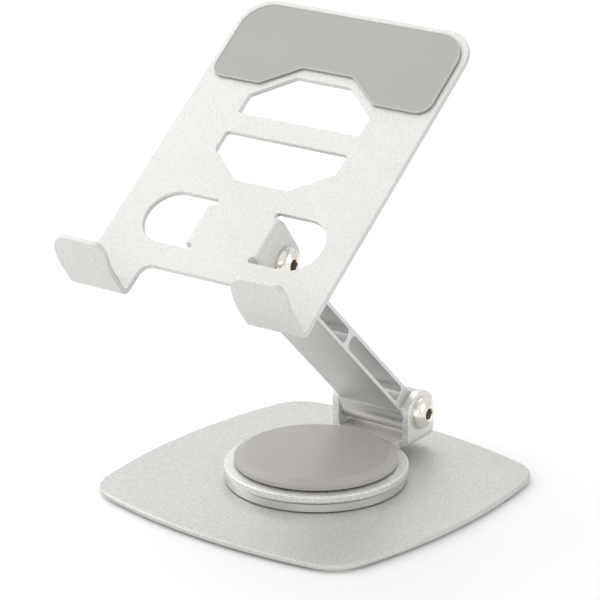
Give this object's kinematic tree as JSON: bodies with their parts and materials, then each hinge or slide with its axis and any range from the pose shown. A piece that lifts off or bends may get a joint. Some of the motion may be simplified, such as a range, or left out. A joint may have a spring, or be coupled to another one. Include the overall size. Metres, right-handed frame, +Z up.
{
  "type": "tablet stand",
  "caption": "Folding aluminium tablet stand with a square base, a turntable, a single arm on friction hinges and a tray with two hooks and a soft pad.",
  "frame": {"origin": "middle of the underside, on the turntable's axis, in the plane of the feet", "axes": "+Z up along the turntable's axis; both hinges lie along X; the user is on the -Y side and the hinge ears on the +Y side"},
  "size_m": [0.1004, 0.1167, 0.1299],
  "materials": {
    "base_silver": "bead-blasted, anodised silver",
    "blasted_silver": "bead-blasted, anodised pale silver",
    "arm_extrusion": "satin anodised extrusion",
    "ring_metal": "turned, satin anodised",
    "cap_grey": "satin warm grey",
    "screw_nickel": "bright nickel plated",
    "washer_metal": "satin steel",
    "steel": "zinc plated steel",
    "pad_silicone": "matt grey silicone",
    "foot_silicone": "matt pale silicone",
    "nylon": "natural nylon",
    "tape_black": "black foam tape"
  },
  "bodies": {
    "base": {"base_plate": "base_silver", "corner_feet": "foot_silicone", "centre_pad": "foot_silicone", "bearing_ring": "ring_metal", "ring_screws": "steel", "slip_washer": "nylon", "pivot_screw": "steel", "wave_washer": "steel"},
    "turntable": {"turntable_plate": "blasted_silver", "cap_tape_ring": "tape_black", "cap_disc": "cap_grey", "lower_hinge_sleeve": "steel", "lower_hinge_screws": "screw_nickel", "lower_friction_washers": "washer_metal"},
    "arm": {"arm": "arm_extrusion", "lower_spring_washers": "steel", "upper_spring_washers": "steel"},
    "tray": {"tray_plate": "blasted_silver", "tray_pad": "pad_silicone", "right_hook_pad": "pad_silicone", "left_hook_pad": "pad_silicone", "upper_hinge_sleeve": "steel", "upper_hinge_screws": "screw_nickel", "upper_friction_washers": "washer_metal"}
  },
  "joints": [
    {"name": "turntable_spin", "type": "hinge", "parent": "base", "child": "turntable", "pos_m": [0, 0, 0.005], "axis": [0, 0, 1], "continuous": true},
    {"name": "arm_fold", "type": "hinge", "parent": "turntable", "child": "arm", "pos_m": [0, 0.0328, 0.01445], "axis": [-1, 0, 0], "range_deg": [-38, 66]},
    {"name": "tray_tilt", "type": "hinge", "parent": "arm", "child": "tray", "pos_m": [0, -0.03122, 0.07613], "axis": [1, 0, 0], "range_deg": [-81, 42]}
  ]
}
